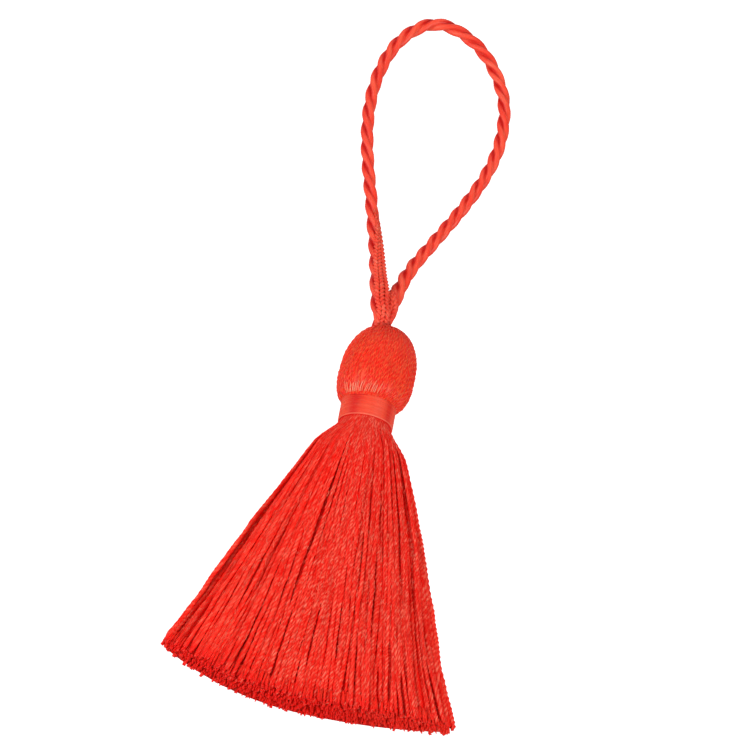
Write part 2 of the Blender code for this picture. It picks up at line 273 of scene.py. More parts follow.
# Each yarn's deep, middle and light red, the red of the painted shade in its grooves, and its
# surface.
# streak is how fine the noise is across and along it, and bright the least and the
# most of the light red.
LOOKS = {
    "twisted_cord": {
        "reds": ((0.79, 0.022, 0.009, 1.0), (0.85, 0.040, 0.019, 1.0), (0.965, 0.145, 0.075, 1.0)),
        "groove": RED_CRESCENT_SHADE,
        "roughness": 0.40,
        "streak": (3.5, 3.5, 0.35),
        "bump": 0.4,
        "bright": (0.2, 0.8),
    },
    "head_yarn": {
        "reds": ((0.82, 0.022, 0.0054, 1.0), (0.88, 0.040, 0.0114, 1.0), (1.0, 0.145, 0.045, 1.0)),
        "groove": RED_HEAD_GROOVE_SHADE,
        "roughness": 0.38,
        "streak": (3.5, 3.5, 0.6),
        "bump": 0.4,
        "bright": (0.3, 1.0),
    },
    "binding_thread": {
        "reds": ((0.82, 0.022, 0.0072, 1.0), (0.88, 0.034, 0.0130, 1.0), (1.0, 0.125, 0.060, 1.0)),
        "groove": RED_GROOVE_SHADE,
        "roughness": 0.42,
        "streak": (5.0, 5.0, 0.15),
        "bump": 0.15,
        "bright": (0.45, 0.85),
    },
    "skirt_yarn": {
        "reds": ((0.73, 0.011, 0.004, 1.0), (0.80, 0.022, 0.010, 1.0), (1.0, 0.145, 0.082, 1.0)),
        "groove": RED_GROOVE_SHADE,
        "roughness": 0.36,
        "streak": (3.2, 3.2, 0.45),
        "bump": 0.4,
        "bright": (0.0, 0.8),
        "specular": 0.09,
    },
}
SPECULAR = 0.22
SUBSURFACE = 0.35
SUBSURFACE_REACH = (1.0, 0.10, 0.06)
SUBSURFACE_SCALE = 0.5 * MM
STREAK_DETAIL = 3.0
STREAK_RANGE = (0.30, 0.72)  # the noise over which deep red turns to middle red
PATCH_SCALE = (0.6, 0.6, 0.22)
PATCH_DETAIL = 2.0
PATCH_RANGE = (0.35, 0.75)
ROUGHNESS_RANGE = (0.2, 0.8)
ROUGHNESS_SPREAD = 0.1
BUMP_DEPTH = 0.06 * MM
MIX_IN = (0, 6, 7)  # the colour sockets of a mix node: factor, first and second
MIX_OUT = 2

# Sections of a yarn: a point's angle in degrees and its share of the radius.
TWO_PLY = {
    6: ((0, 1.0), (52, 0.74), (128, 0.74)),
    8: ((0, 1.0), (48, 0.84), (90, 0.50), (132, 0.84)),
}
THREE_PLY = (1.0, 0.74)  # on a crest, and in a groove
CREST = 0.9  # a point further out than this share is on a crest
GROOVE_SHADE_TINT = 0.85
SHALLOWEST = 0.05  # a section without grooves counts as this deep
RISE = (0.1, 0.85)  # a flank's painted shade begins and ends where it faces this much upwards

# The stage: each light's name, place, size in metres and power in watts.
LIGHTS = (
    ("key", (0.54, -0.50, 0.60), 0.16, 5.2),
    ("fill", (-0.60, -0.10, 0.70), 0.6, 4.0),
    ("left", (-0.85, -0.25, 0.30), 0.5, 2.6),
    ("back", (0.10, 0.75, 0.60), 0.6, 1.8),
)
WORLD_STRENGTH = 0.36
FLOOR_SIZE = 3.0
FLOOR_BELOW = 0.02 * MM
FLOOR_ROUGHNESS = 0.9
FLOOR_SPECULAR = 0.1


# Camera

def add_camera():
    u = Vector((0, math.sin(CAMERA_ELEVATION), math.cos(CAMERA_ELEVATION)))
    look = Vector((0, math.cos(CAMERA_ELEVATION), -math.sin(CAMERA_ELEVATION)))
    x_axis = Vector((1, 0, 0))
    right = x_axis * math.cos(CAMERA_ROLL) + u * math.sin(CAMERA_ROLL)
    up = u * math.cos(CAMERA_ROLL) - x_axis * math.sin(CAMERA_ROLL)
    data = bpy.data.cameras.new("camera")
    data.sensor_width = SENSOR
    data.lens = SENSOR * CAMERA_DISTANCE / VIEW_WIDTH
    data.clip_start = CLIP_START
    camera = bpy.data.objects.new("camera", data)
    bpy.context.scene.collection.objects.link(camera)
    place = CAMERA_TARGET - look * CAMERA_DISTANCE
    place += right * CAMERA_SLIDE[0] + up * CAMERA_SLIDE[1]
    turn = Matrix((right, up, -look)).transposed().to_4x4()
    camera.matrix_world = Matrix.Translation(place) @ turn
    bpy.context.scene.camera = camera


# Materials

def yarn_material(name, reds, groove, roughness, streak, bump, bright, specular=SPECULAR):
    """Dyed cotton in three reds, with painted shade and highlights. Its fibres follow the ply, as
    the noise is read along it.
    """
    material = bpy.data.materials.new(name)
    material.use_nodes = True
    nodes, links = material.node_tree.nodes, material.node_tree.links
    shader = nodes["Principled BSDF"]
    shader.inputs["Specular IOR Level"].default_value = specular
    shader.inputs["Subsurface Weight"].default_value = SUBSURFACE
    shader.inputs["Subsurface Radius"].default_value = SUBSURFACE_REACH
    shader.inputs["Subsurface Scale"].default_value = SUBSURFACE_SCALE

    def attribute(title):
        node = nodes.new("ShaderNodeAttribute")
        node.attribute_name = title
        return node

    def noise(vector, scale, detail):
        mapping = nodes.new("ShaderNodeMapping")
        mapping.inputs["Scale"].default_value = scale
        links.new(vector, mapping.inputs["Vector"])
        node = nodes.new("ShaderNodeTexNoise")
        node.inputs["Scale"].default_value = 1.0
        node.inputs["Detail"].default_value = detail
        links.new(mapping.outputs["Vector"], node.inputs["Vector"])
        return node.outputs["Fac"]

    def mix(factor, first, second):
        node = nodes.new("ShaderNodeMix")
        node.data_type = "RGBA"
        for socket, value in zip(MIX_IN, (factor, first, second), strict=True):
            if isinstance(value, bpy.types.NodeSocket):
                links.new(value, node.inputs[socket])
            else:
                node.inputs[socket].default_value = value
        return node.outputs[MIX_OUT]

    def spread(value, low, high, to_low=0.0, to_high=1.0):
        node = nodes.new("ShaderNodeMapRange")
        for title, number in (
            ("From Min", low),
            ("From Max", high),
            ("To Min", to_low),
            ("To Max", to_high),
        ):
            node.inputs[title].default_value = number
        links.new(value, node.inputs["Value"])
        return node.outputs["Result"]

    fibre = attribute("fibre").outputs["Vector"]
    fine = noise(fibre, streak, STREAK_DETAIL)
    patch = noise(fibre, PATCH_SCALE, PATCH_DETAIL)
    colour = mix(spread(fine, *STREAK_RANGE), reds[0], reds[1])
    colour = mix(spread(patch, *PATCH_RANGE, *bright), colour, reds[2])
    # The groove and shade reds are painted shade, and the pale red mostly a painted highlight.
    colour = mix(attribute("groove").outputs["Fac"], colour, groove)
    colour = mix(attribute("shade").outputs["Fac"], colour, RED_SHADE)
    colour = mix(attribute("cut").outputs["Fac"], colour, RED_CUT)
    colour = mix(attribute("pale").outputs["Fac"], colour, RED_HIGHLIGHT_AND_PALE)
    links.new(colour, shader.inputs["Base Color"])
    rough = spread(
        fine, *ROUGHNESS_RANGE, roughness + ROUGHNESS_SPREAD, roughness - ROUGHNESS_SPREAD
    )
    links.new(rough, shader.inputs["Roughness"])
    relief = nodes.new("ShaderNodeBump")
    relief.inputs["Strength"].default_value = bump
    relief.inputs["Distance"].default_value = BUMP_DEPTH
    links.new(fine, relief.inputs["Height"])
    links.new(relief.outputs["Normal"], shader.inputs["Normal"])
    return material


def floor_material():
    material = bpy.data.materials.new("floor")
    material.use_nodes = True
    shader = material.node_tree.nodes["Principled BSDF"]
    shader.inputs["Base Color"].default_value = FLOOR_WHITE
    shader.inputs["Roughness"].default_value = FLOOR_ROUGHNESS
    shader.inputs["Specular IOR Level"].default_value = FLOOR_SPECULAR
    shader.inputs["Emission Color"].default_value = (1, 1, 1, 1)
    shader.inputs["Emission Strength"].default_value = FLOOR_GLOW
    return material


# Tubes

def unit(vectors):
    return vectors / np.maximum(np.linalg.norm(vectors, axis=-1, keepdims=True), 1e-12)


def smoothstep(low, high, value):
    """From 0 at low to 1 at high, level at both."""
    t = np.clip((value - low) / (high - low), 0, 1)
    return t * t * (3 - 2 * t)


def bell(value, width, middle=0.0):
    """1 at the middle, and near 0 two widths away from it."""
    return np.exp(-(((value - middle) / width) ** 2))


def ripple(rng, share, low, high):
    """A sine of low to high waves along the yarn, which starts anywhere."""
    return np.sin(math.tau * (share * rng.uniform(low, high) + rng.random()))


def two_ply(sides):
    """Angles and shares of the radius of two plies pressed together, with grooves between."""
    half = TWO_PLY[sides]
    angles = [math.radians(angle + flip) for flip in (0, 180) for angle, _ in half]
    shares = [share for _ in range(2) for _, share in half]
    return np.array(angles), np.array(shares)


def three_ply():
    """Three plies, each a crest with a groove on both sides."""
    return np.arange(6) * math.tau / 6, np.array(THREE_PLY * 3)


def round_section(sides):
    return np.arange(sides) * math.tau / sides, np.ones(sides)


def flecks(rng, along, sides, length, low, high, count=2):
    """How dark each of the plies is along the yarn, changing every length or so."""
    plies = []
    for _ in range(count):
        knots = np.arange(along[0] - length, along[-1] + 2 * length, length)
        values = [rng.uniform(low, high) for _ in knots]
        plies.append(np.interp(along + rng.uniform(0, length), knots, values))
    plies = [np.repeat(ply[:, None], sides // count, axis=1) for ply in plies]
    return np.concatenate(plies, axis=1)


def upright(points):
    return np.broadcast_to([0.0, 0.0, 1.0], points.shape)


def distances(points):
    """How far along the line each point is."""
    return np.concatenate([[0], np.cumsum(np.linalg.norm(np.diff(points, axis=0), axis=1))])


def directions(points, facing):
    """At each point, the way across the line, and the way off it on the facing side."""
    tangent = unit(np.gradient(points, axis=0))
    across = unit(np.cross(tangent, facing))
    return across, np.cross(across, tangent)


def skin(ring, first, last, fibre, groove=0.0, shade=0.0, cut=0.0, pale=0.0):
    """A closed body over rings of points, with what the material reads at each of them."""
    count, sides = ring.shape[:2]
    row, column = np.meshgrid(np.arange(count - 1) * sides, np.arange(sides), indexing="ij")
    after = (column + 1) % sides
    following = row + sides
    quads = np.stack([row + column, following + column, following + after, row + after], axis=-1)
    column = np.arange(sides)
    after = (column + 1) % sides
    base = (count - 1) * sides
    start = np.stack([np.full(sides, count * sides), column, after], axis=-1)
    end = np.stack([np.full(sides, count * sides + 1), base + after, base + column], axis=-1)

    def spread(value):
        value = np.asarray(value, float)
        rows = value if value.ndim == 2 else np.broadcast_to(value.reshape(-1, 1), (count, sides))
        return np.concatenate([rows.reshape(-1), rows[:1, 0], rows[-1:, 0]])

    fibre_ends = [fibre[0].mean(0), fibre[-1].mean(0)]
    return {
        "verts": np.concatenate([ring.reshape(-1, 3), [first, last]]),
        "quads": quads.reshape(-1, 4),
        "tris": np.concatenate([start, end]),
        "fibre": np.concatenate([fibre.reshape(-1, 3), fibre_ends]),
        "groove": spread(groove),
        "shade": spread(shade),
        "cut": spread(cut),
        "pale": spread(pale),
    }


def tube(
    points,
    facing,
    radius,
    turns,
    section,
    *,
    relief=1.0,
    tint=GROOVE_SHADE_TINT,
    dark=0.0,
    shade=0.0,
    flank_shade=0.0,
    rise=RISE,
    offset=0.0,
    **read,
):
    """A closed tube along points. facing is upwards, flank paints shade on what faces sideways,
    and tint paints shade into the grooves.
    """
    angles, shares = section
    across, above = directions(points, facing)
    angle = angles[None, :] + turns[:, None]
    reach = radius[:, None] * shares[None, :] * relief
    outwards = np.cos(angle)[..., None] * across[:, None, :]
    outwards = outwards + np.sin(angle)[..., None] * above[:, None, :]
    ring = points[:, None, :] + reach[..., None] * outwards
    along = np.broadcast_to((distances(points) / MM + offset)[:, None], reach.shape)
    fibre = np.stack([reach / MM * np.cos(angles), reach / MM * np.sin(angles), along], axis=-1)
    # The grooves between the plies get painted shade.
    groove = (1 - shares) / max(1 - shares.min(), SHALLOWEST)
    dark = 1 - (1 - tint * groove) * (1 - columns(dark))
    # What faces sideways gets painted shade.
    sideways_shade = flank_shade * (1 - smoothstep(*rise, np.sin(angle)))
    shade = 1 - (1 - columns(shade)) * (1 - sideways_shade)
    dark, shade = (np.broadcast_to(value, reach.shape) for value in (dark, shade))
    return skin(ring, points[0], points[-1], fibre, dark, shade, **read)


def columns(value):
    """A value, one a ring or one a point, as rows and columns of points."""
    value = np.asarray(value, float)
    return value if value.ndim == 2 else value.reshape(-1, 1)


def join_tubes(name, tubes, material):
    """One object of many tubes."""
    mesh = bpy.data.meshes.new(name)
    verts = np.concatenate([t["verts"] for t in tubes])
    starts = np.cumsum([0] + [len(t["verts"]) for t in tubes[:-1]])
    quads = np.concatenate([t["quads"] + s for t, s in zip(tubes, starts, strict=True)])
    tris = np.concatenate([t["tris"] + s for t, s in zip(tubes, starts, strict=True)])
    corners = np.concatenate([quads.reshape(-1), tris.reshape(-1)])
    sizes = np.concatenate([np.full(len(quads), 4), np.full(len(tris), 3)])
    loop_starts = np.concatenate([[0], np.cumsum(sizes)[:-1]])
    mesh.vertices.add(len(verts))
    mesh.vertices.foreach_set("co", verts.astype(np.float32).reshape(-1))
    mesh.loops.add(len(corners))
    mesh.loops.foreach_set("vertex_index", corners.astype(np.int32))
    mesh.polygons.add(len(sizes))
    mesh.polygons.foreach_set("loop_start", loop_starts.astype(np.int32))
    mesh.update(calc_edges=True)
    fibre = mesh.attributes.new("fibre", "FLOAT_VECTOR", "POINT")
    fibres = np.concatenate([t["fibre"] for t in tubes])
    fibre.data.foreach_set("vector", fibres.astype(np.float32).reshape(-1))
    for title in ("groove", "shade", "cut", "pale"):
        values = np.concatenate([t[title] for t in tubes])
        layer = mesh.attributes.new(title, "FLOAT", "POINT")
        layer.data.foreach_set("value", values.astype(np.float32))
    mesh.shade_smooth()
    mesh.materials.append(material)
    piece = bpy.data.objects.new(name, mesh)
    bpy.context.scene.collection.objects.link(piece)
    return piece


def place_piece(piece, node):
    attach(piece, "root")
    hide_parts(node)


# Cord

def smooth_route(points, step):
    """Points about step apart on a Catmull-Rom curve through the given ones."""
    points = np.array(points)
    ends = np.concatenate([[points[0] * 2 - points[1]], points, [points[-1] * 2 - points[-2]]])
    t = (np.arange(ROUTE_SAMPLES) / ROUTE_SAMPLES)[:, None]
    fine = []
    for a, b, c, d in zip(ends, ends[1:], ends[2:], ends[3:]):
        curved = (a * 2 - b * 5 + c * 4 - d) * t**2 + (b * 3 - a - c * 3 + d) * t**3
        fine.append((b * 2 + (c - a) * t + curved) / 2)
    fine = np.concatenate([*fine, points[-1:]])
    lengths = distances(fine)
    even = np.linspace(0, lengths[-1], round(lengths[-1] / step) + 1)
    return np.stack([np.interp(even, lengths, fine[:, i]) for i in range(3)], axis=1)


def cord_section():
    """The outline of three round plies pressed together, with the first groove at angle 0."""
    angles = np.arange(CORD_SIDES) * math.tau / CORD_SIDES
    from_ply = angles % math.radians(120) - math.radians(60)
    out = 1 - CORD_PLY
    return angles, out * np.cos(from_ply) + np.sqrt(CORD_PLY**2 - (out * np.sin(from_ply)) ** 2)


def build_cord(material):
    route = smooth_route([[v * MM for v in p] for p in LOOP_ROUTE], CORD_STEP)
    steps = round(CORD_INSIDE / CORD_STEP)
    before = route[0] + (route[0] - route[1]) * np.arange(steps, 0, -1)[:, None]
    behind = route[-1] + (route[-1] - route[-2]) * np.arange(1, steps + 1)[:, None]
    line = np.concatenate([before, route, behind])
    along = (np.arange(len(line)) - steps) * CORD_STEP
    sixths = np.interp(along / MM, *zip(*CORD_TURNS, strict=True))
    window = 2 * CORD_EVENED + 1
    padded = np.pad(sixths, CORD_EVENED, mode="edge")
    sixths = np.convolve(padded, np.ones(window) / window, mode="valid")
    angle = math.tau / 6 * (1 + sixths)
    angles, shares = cord_section()
    from_head = np.minimum(along, along[-1] - CORD_INSIDE - along)
    widest = from_head - CORD_WIDEST
    loosened = bell(widest, np.where(widest > 0, *CORD_WIDENS))
    seen_turn = angles[None, :] + CORD_YARN_TURN * angle[:, None]
    yarns = 0.5 - 0.5 * np.cos(CORD_YARNS * seen_turn)
    relief = 1 - (CORD_YARN_DEPTH[0] + CORD_YARN_DEPTH[1] * loosened)[:, None] * yarns
    radius = CORD_RADIUS * CORD_FULLER * (1 + CORD_WIDER * loosened)
    rng = random.Random(9)
    dark = flecks(rng, along, CORD_SIDES, *CORD_FLECKS).clip(0, 1)
    # The grooves on the side that faces away from the light get painted shade, as dark crescents.
    across, above = directions(line, upright(line))
    round_it = angles[None, :] + angle[:, None]
    away = np.cos(round_it) * (across @ CORD_SHADED)[:, None]
    away = away + np.sin(round_it) * (above @ CORD_SHADED)[:, None]
    grooved = (1 - shares) / (1 - shares.min())
    crescent_shade = CORD_CRESCENT_SHADE * smoothstep(*CORD_CRESCENT_SHADE_FROM, grooved)
    dark = 1 - (1 - dark) * (1 - crescent_shade * smoothstep(*CORD_CRESCENT_SHADE_FACING, away))
    twisted = tube(
        line,
        upright(line),
        radius,
        angle,
        (angles, shares),
        relief=relief,
        tint=CORD_GROOVE_SHADE_TINT,
        dark=dark,
    )
    cord = join_tubes("twisted_cord", [twisted], material)
    place_piece(cord, "hanging_loop")
    build_plaits(rng, line, from_head, radius, material)


def plait_yarn(rng, line, near, from_head, cord_radius, place, hand):
    """A fine yarn on one leg. near is 1 at the head and 0 where it dives into the leg."""
    across, above = directions(line, upright(line))
    opened = smoothstep(0.0, PLAIT_OPEN, near)
    turn = np.radians(PLAIT_MIDDLE + (place - PLAIT_MIDDLE) * opened)
    out = cord_radius * (PLAIT_DEPTH[0] + PLAIT_DEPTH[1] * smoothstep(0.0, PLAIT_DIVE, near))
    out = out + PLAIT_OUT[0] * bell(from_head, *PLAIT_OUT[1:])
    side = np.cos(turn)[:, None] * across + np.sin(turn)[:, None] * above
    points = line + out[:, None] * side
    along = distances(points)
    return tube(
        points,
        side,
        (PLAIT_WIDTH[0] + (PLAIT_WIDTH[1] - PLAIT_WIDTH[0]) * opened) / 2,
        hand * math.tau * along / PLAIT_PITCH + rng.uniform(0, 6),
        two_ply(8),
        tint=PLAIT_GROOVE_SHADE_TINT,
        dark=flecks(rng, along, 8, *PLAIT_FLECKS).clip(0, 1),
        pale=flecks(rng, along, 8, *PLAIT_PALE).clip(0, 1),
    )


def build_plaits(rng, line, from_head, cord_radius, material):
    """Fine yarns laid side by side up each leg, twisted one way and the other in turn."""
    tubes = []
    middle = len(line) // 2
    for leg, (places, length) in PLAITS.items():
        kept = from_head <= length
        kept[middle:] &= leg == "right"
        kept[:middle] &= leg == "left"
        count = 2 * kept.sum()
        fine = np.linspace(0, kept.sum() - 1, count)
        rows = (*line[kept].T, from_head[kept], cord_radius[kept])
        own = [np.interp(fine, np.arange(kept.sum()), values) for values in rows]
        near = 1 - np.maximum(own[3], 0) / length
        points = np.stack(own[:3], axis=1)
        for i, place in enumerate(places):
            hand = 1 if i % 2 else -1
            tubes.append(plait_yarn(rng, points, near, own[3], own[4], place, hand))
    plait = join_tubes("cord_plait", tubes, material)
    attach(plait, "root")


# Head

def head_radius(y):
    dome = 1 - np.clip(y / HEAD_DOME, 0, 1) ** HEAD_DOME_POWER
    shoulder = 1 - np.clip(-y / HEAD_SHOULDER, 0, 1) ** HEAD_SHOULDER_POWER
    return HEAD_RADIUS * np.where(
        y >= 0, dome ** (1 / HEAD_DOME_POWER), shoulder ** (1 / HEAD_SHOULDER_POWER)
    )


def head_profile(count):
    """y and radius from the eye, over the dome, to where a yarn tucks in above the neck."""
    swing = np.linspace(0, 1, HEAD_PROFILE_POINTS)
    y = HEAD_TUCK_Y + (HEAD_EYE_Y - HEAD_TUCK_Y) * (1 + np.cos(math.pi * swing)) / 2
    dome = np.stack([y, head_radius(y)], axis=1)
    profile = np.concatenate([np.array(HEAD_EYE) * MM, dome, np.array(HEAD_TUCK) * MM])
    lengths = distances(profile)
    even = np.linspace(0, lengths[-1], count)
    return np.stack([np.interp(even, lengths, profile[:, i]) for i in range(2)], axis=1), even


def head_point(y, radius, turn):
    lean = HEAD_LEAN + HEAD_TILT * y
    z = np.maximum(AXIS_Z + radius * np.sin(turn), HEAD_LOWEST)
    return np.stack([lean + radius * np.cos(turn), y, z], axis=-1)


def off_the_head(points, y, turn):
    """The way from the head's axis to each point."""
    return unit(points - head_point(y, np.zeros_like(y), turn))


def crowding(radius):
    """1 where the yarns have room round the head, and less where they crowd."""
    return np.minimum(1, radius * math.tau / HEAD_YARNS / HEAD_YARN_PITCH)


def head_yarn(rng, place, sunk, slant, span=(0.0, 1.0)):
    """One yarn over the dome. place is its angle round the head, and slant how it leans."""
    profile, along = head_profile(HEAD_YARN_POINTS)
    share = along / along[-1]
    kept = (share >= span[0]) & (share <= span[1])
    y, radius, along, share = profile[kept, 0], profile[kept, 1], along[kept], share[kept]
    wander = 0.025 * ripple(rng, share, 1.5, 3.0) + 0.015 * ripple(rng, share, 3.5, 6.0)
    turn = place + HEAD_TWIST * (share - 0.5) + wander + slant * (share - 0.5)
    crowd = crowding(radius)
    width = HEAD_YARN_WIDTH * np.maximum(crowd, HEAD_NARROWEST)
    width = width * (1 + 0.06 * rng.uniform(-1, 1))
    depth = sunk + 0.04 * MM * ripple(rng, share, 2, 5)
    points = head_point(y, radius - depth, turn)
    points[:, 2] = np.maximum(points[:, 2], width / 2 + CLEARANCE)
    pitch = rng.uniform(*HEAD_LAY) * MM
    turns = -math.tau * along / pitch + rng.uniform(0, math.tau)
    # The crests on the front just above the neck get a painted highlight.
    front = smoothstep(*HEAD_FRONT_EDGE, np.abs(turn - HEAD_FRONT))
    crest_highlight = HEAD_CREST_HIGHLIGHT[0] * bell(y, *HEAD_CREST_HIGHLIGHT[1:]) * front
    section = two_ply(6)
    return tube(
        points,
        off_the_head(points, y, turn),
        width / 2,
        turns,
        section,
        flank_shade=0.3,
        dark=flecks(rng, along, 6, *HEAD_FLECKS).clip(0, 1),
        pale=crest_highlight[:, None] * (section[1] > CREST),
        offset=rng.uniform(0, 400),
    )


def build_head(material):
    rng = random.Random(5)
    tubes = []
    for yarn in range(HEAD_YARNS):
        place = math.tau * (yarn + rng.uniform(-0.2, 0.2)) / HEAD_YARNS
        tubes.append(head_yarn(rng, place, rng.uniform(*HEAD_SUNK) * MM, rng.uniform(-0.05, 0.05)))
    for _ in range(HEAD_LOOSE_YARNS):
        place = rng.uniform(0, math.tau)
        start = rng.uniform(*HEAD_LOOSE_FROM)
        span = (start, start + rng.uniform(*HEAD_LOOSE_SHARE))
        slant = rng.choice((-1, 1)) * rng.uniform(*HEAD_LOOSE_SLANT)
        tubes.append(head_yarn(rng, place, HEAD_LOOSE_SUNK, slant, span))
    tubes.extend(head_tooth(rng, tooth) for tooth in range(HEAD_TEETH))
    tubes.append(head_core())
    place_piece(join_tubes("head_yarns", tubes, material), "head")


def head_tooth(rng, tooth):
    """A thread end that stands up from the binding and leans on the head, pale as a painted
    highlight.
    """
    along = (tooth + rng.uniform(-0.25, 0.25)) / (HEAD_TEETH - 1)
    length = rng.uniform(*TOOTH_LENGTH) * MM
    count = len(TOOTH_TAPER)
    y = np.linspace(BINDING_TOP + 0.1 * MM, BINDING_TOP + 0.1 * MM + length, count)
    turn = math.radians(TEETH_FROM - TEETH_ACROSS * along)
    turn = turn - rng.uniform(0.02, 0.16) * np.linspace(0, 1, count)
    radius = rng.uniform(*TOOTH_RADIUS) * MM * TOOTH_TAPER
    points = head_point(y, head_radius(y) - 0.05 * MM, turn)
    facing = off_the_head(points, y, turn)
    pale = rng.uniform(*TOOTH_HIGHLIGHT)
    return tube(points, facing, radius, np.zeros(count), round_section(6), pale=pale, flank_shade=0.6)


def head_core():
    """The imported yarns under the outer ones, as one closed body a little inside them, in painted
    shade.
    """
    profile, _ = head_profile(HEAD_CORE_ROWS)
    profile = profile[profile[:, 1] > HEAD_CORE_HOLE]
    sunk = HEAD_CORE_SUNK - HEAD_CORE_FULLER * crowding(profile[:, 1])
    y = profile[:, 0] - sunk * smoothstep(HEAD_EYE_Y - 3 * MM, HEAD_EYE_Y, profile[:, 0])
    # It runs this way round so that its faces look outwards.
    around = -np.arange(HEAD_CORE_SIDES) * math.tau / HEAD_CORE_SIDES
    rows = np.repeat(y[:, None], HEAD_CORE_SIDES, axis=1)
    ring = head_point(rows, (profile[:, 1] - sunk)[:, None], around)
    ends = head_point(y[[0, -1]], np.zeros(2), 0.0)
    return skin(ring, *ends, ring / MM, shade=HEAD_CORE_SHADE)


# Binding

def build_binding(material):
    """One long thread wound round the neck, course below course, over a packed core in painted
    shade.
    """
    courses = round(BINDING_HEIGHT / THREAD_PITCH)
    turn = np.linspace(0, math.tau * courses, THREAD_STEPS * courses + 1)
    y = BINDING_TOP - THREAD_RADIUS - (BINDING_HEIGHT - 2 * THREAD_RADIUS) * turn / turn[-1]
    wander = sum(
        amount * np.sin(often * turn + phase)
        for amount, often, phase in THREAD_WANDERS
    )
    around = np.degrees(turn) % 360
    middle, width = THREAD_LOOSE
    loose = bell(around, width, middle) * bell(y, THREAD_LOOSE_DOWN, BINDING_TOP)
    # Every second turn lies a little deeper there, and is painted darker as shade.
    sunk = THREAD_LOOSE_SUNK * loose * (0.5 - 0.5 * np.cos(turn / 2))
    radius = BINDING_RADIUS - THREAD_RADIUS + 0.02 * MM * (np.sin(0.61 * turn) + wander) - sunk
    z = AXIS_Z + radius * np.sin(turn)
    points = np.stack([radius * np.cos(turn), y + wander * MM, z], axis=1)
    centre = np.stack([np.zeros_like(y), y, np.full_like(y, AXIS_Z)], axis=1)
    # The bands are painted shade.
    shaded = sum(bell(around, width, middle) for middle, width in BINDING_SHADED)
    winding = tube(
        points,
        unit(points - centre),
        np.full(len(y), THREAD_RADIUS),
        turn * 3,
        round_section(THREAD_SIDES),
        dark=(0.1 + 0.08 * np.sin(0.23 * turn) + 0.75 * shaded + 5.0 * sunk / MM).clip(0, 0.9),
        # The last turn gets a painted highlight.
        pale=0.3 * smoothstep(turn[-1] - 1.5 * math.tau, turn[-1] - math.tau, turn),
    )
    bottom = BINDING_TOP - BINDING_HEIGHT + THREAD_RADIUS
    none = np.zeros(BINDING_CORE_ROWS)
    y = np.linspace(BINDING_TOP - THREAD_RADIUS, bottom, BINDING_CORE_ROWS)
    line = np.stack([none, y, none + AXIS_Z], axis=1)
    radius = none + (BINDING_RADIUS - 1.3 * THREAD_RADIUS)
    # The core under the thread is coloured all in painted shade.
    core = tube(line, upright(line), radius, none, round_section(BINDING_CORE_SIDES), dark=1.0)
    binding = join_tubes("binding_windings", [winding, core], material)
    place_piece(binding, "binding")


# Skirt

def spread_of(share, side):
    bow = (FAN_BOW[0] + FAN_BOW[1] * side) * np.sin(math.pi * share)
    flare = (FAN_FLARE[0] + FAN_FLARE[1] * side) * np.sin(math.tau * share)
    spring = FAN_SPRING * smoothstep(0, FAN_SPRING_END, share) * (1 - share) ** 2
    return share + bow + flare + spring


def reach_of(side):
    return REACH + REACH_MORE_RIGHT * np.maximum(side, 0) ** 2


def yarn_width(share):
    return YARN_ROOT + (YARN_TIP - YARN_ROOT) * smoothstep(0.0, 0.45, share)


def wave(rng, share, cycles, amplitude):
    """A sideways wander of about that many cycles along the yarn."""
    first = ripple(rng, share, *cycles)
    return amplitude * (first + 0.5 * ripple(rng, share * 1.7, *cycles))


def fan_height(layer, rows, share):
    """The height of a layer of yarns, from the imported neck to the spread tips."""
    middle = (YARNS_ABREAST - 1) / 2
    packed = AXIS_Z + (layer * YARNS_ABREAST + middle - (rows - 1) / 2) * ROOT_PITCH
    sunk = 1 - (1 - np.minimum(share, 1)) ** (SETTLE_LOWEST - SETTLE_STEP * layer)
    return packed + (yarn_width(share) / 2 + layer * LAYER_PITCH - packed) * sunk, sunk


def fan_place(x_root, side, share):
    """x and y at a share of the way from the neck to the tips."""
    angle = FAN_MIDDLE + FAN_HALF * side
    reach = reach_of(side)
    x = x_root + (reach * np.sin(angle) - x_root) * spread_of(share, side)
    return x, ROOT_Y - BEND_OUT - reach * np.cos(angle) * share


def fan_line(rng, x_root, side, layer, abreast, rows, share, lock):
    """The line of one yarn. side is its place across the fan at each share of its length."""
    x, y = fan_place(x_root, side, share)
    grown = smoothstep(0.03, 0.5, share)
    slow = wave(rng, share, (1.0, 2.4), 0.13 * MM)
    x = x + grown * (slow + wave(rng, share, (5, 9), 0.04 * MM))
    x = x + grown * lock["sway"] * np.sin(math.tau * (lock["cycles"] * share + lock["phase"]))
    z, sunk = fan_height(layer, rows, share)
    z = z + sunk * (lock["lift"] + rng.uniform(-0.15, 0.15) * MM if layer else 0)
    stacked = (abreast - (YARNS_ABREAST - 1) / 2) * ROOT_PITCH
    z = z + stacked * (1 - smoothstep(ABREAST_FROM, ABREAST_BY, share))
    z = z + grown * wave(rng, share, (1.2, 2.8), 0.13 * MM)
    return np.stack([x, y, z], axis=1)


def make_locks(rng):
    """The yarns of a layer cling together in locks of a few each."""
    locks = []
    while len(locks) < ACROSS:
        size = rng.randint(*LOCK_SIZE)
        lock = {
            "middle": len(locks) + (size - 1) / 2,
            "pinch": rng.uniform(0.02, 0.11),
            "lift": rng.uniform(-0.28, 0.28) * MM,
            "sway": rng.uniform(0.06, 0.22) * MM,
            "cycles": rng.uniform(0.7, 1.5),
            "phase": rng.random(),
            "longer": rng.uniform(-0.2, 0.2) * MM,
        }
        locks.extend([lock] * size)
    return locks


def rows_at(column):
    """x at the neck, and how many yarns lie one above another there."""
    x_root = (column - (COLUMNS - 1) / 2) * ROOT_PITCH
    return x_root, 2 * np.sqrt(np.maximum(ROOT_RADIUS**2 - x_root**2, 0)) / ROOT_PITCH


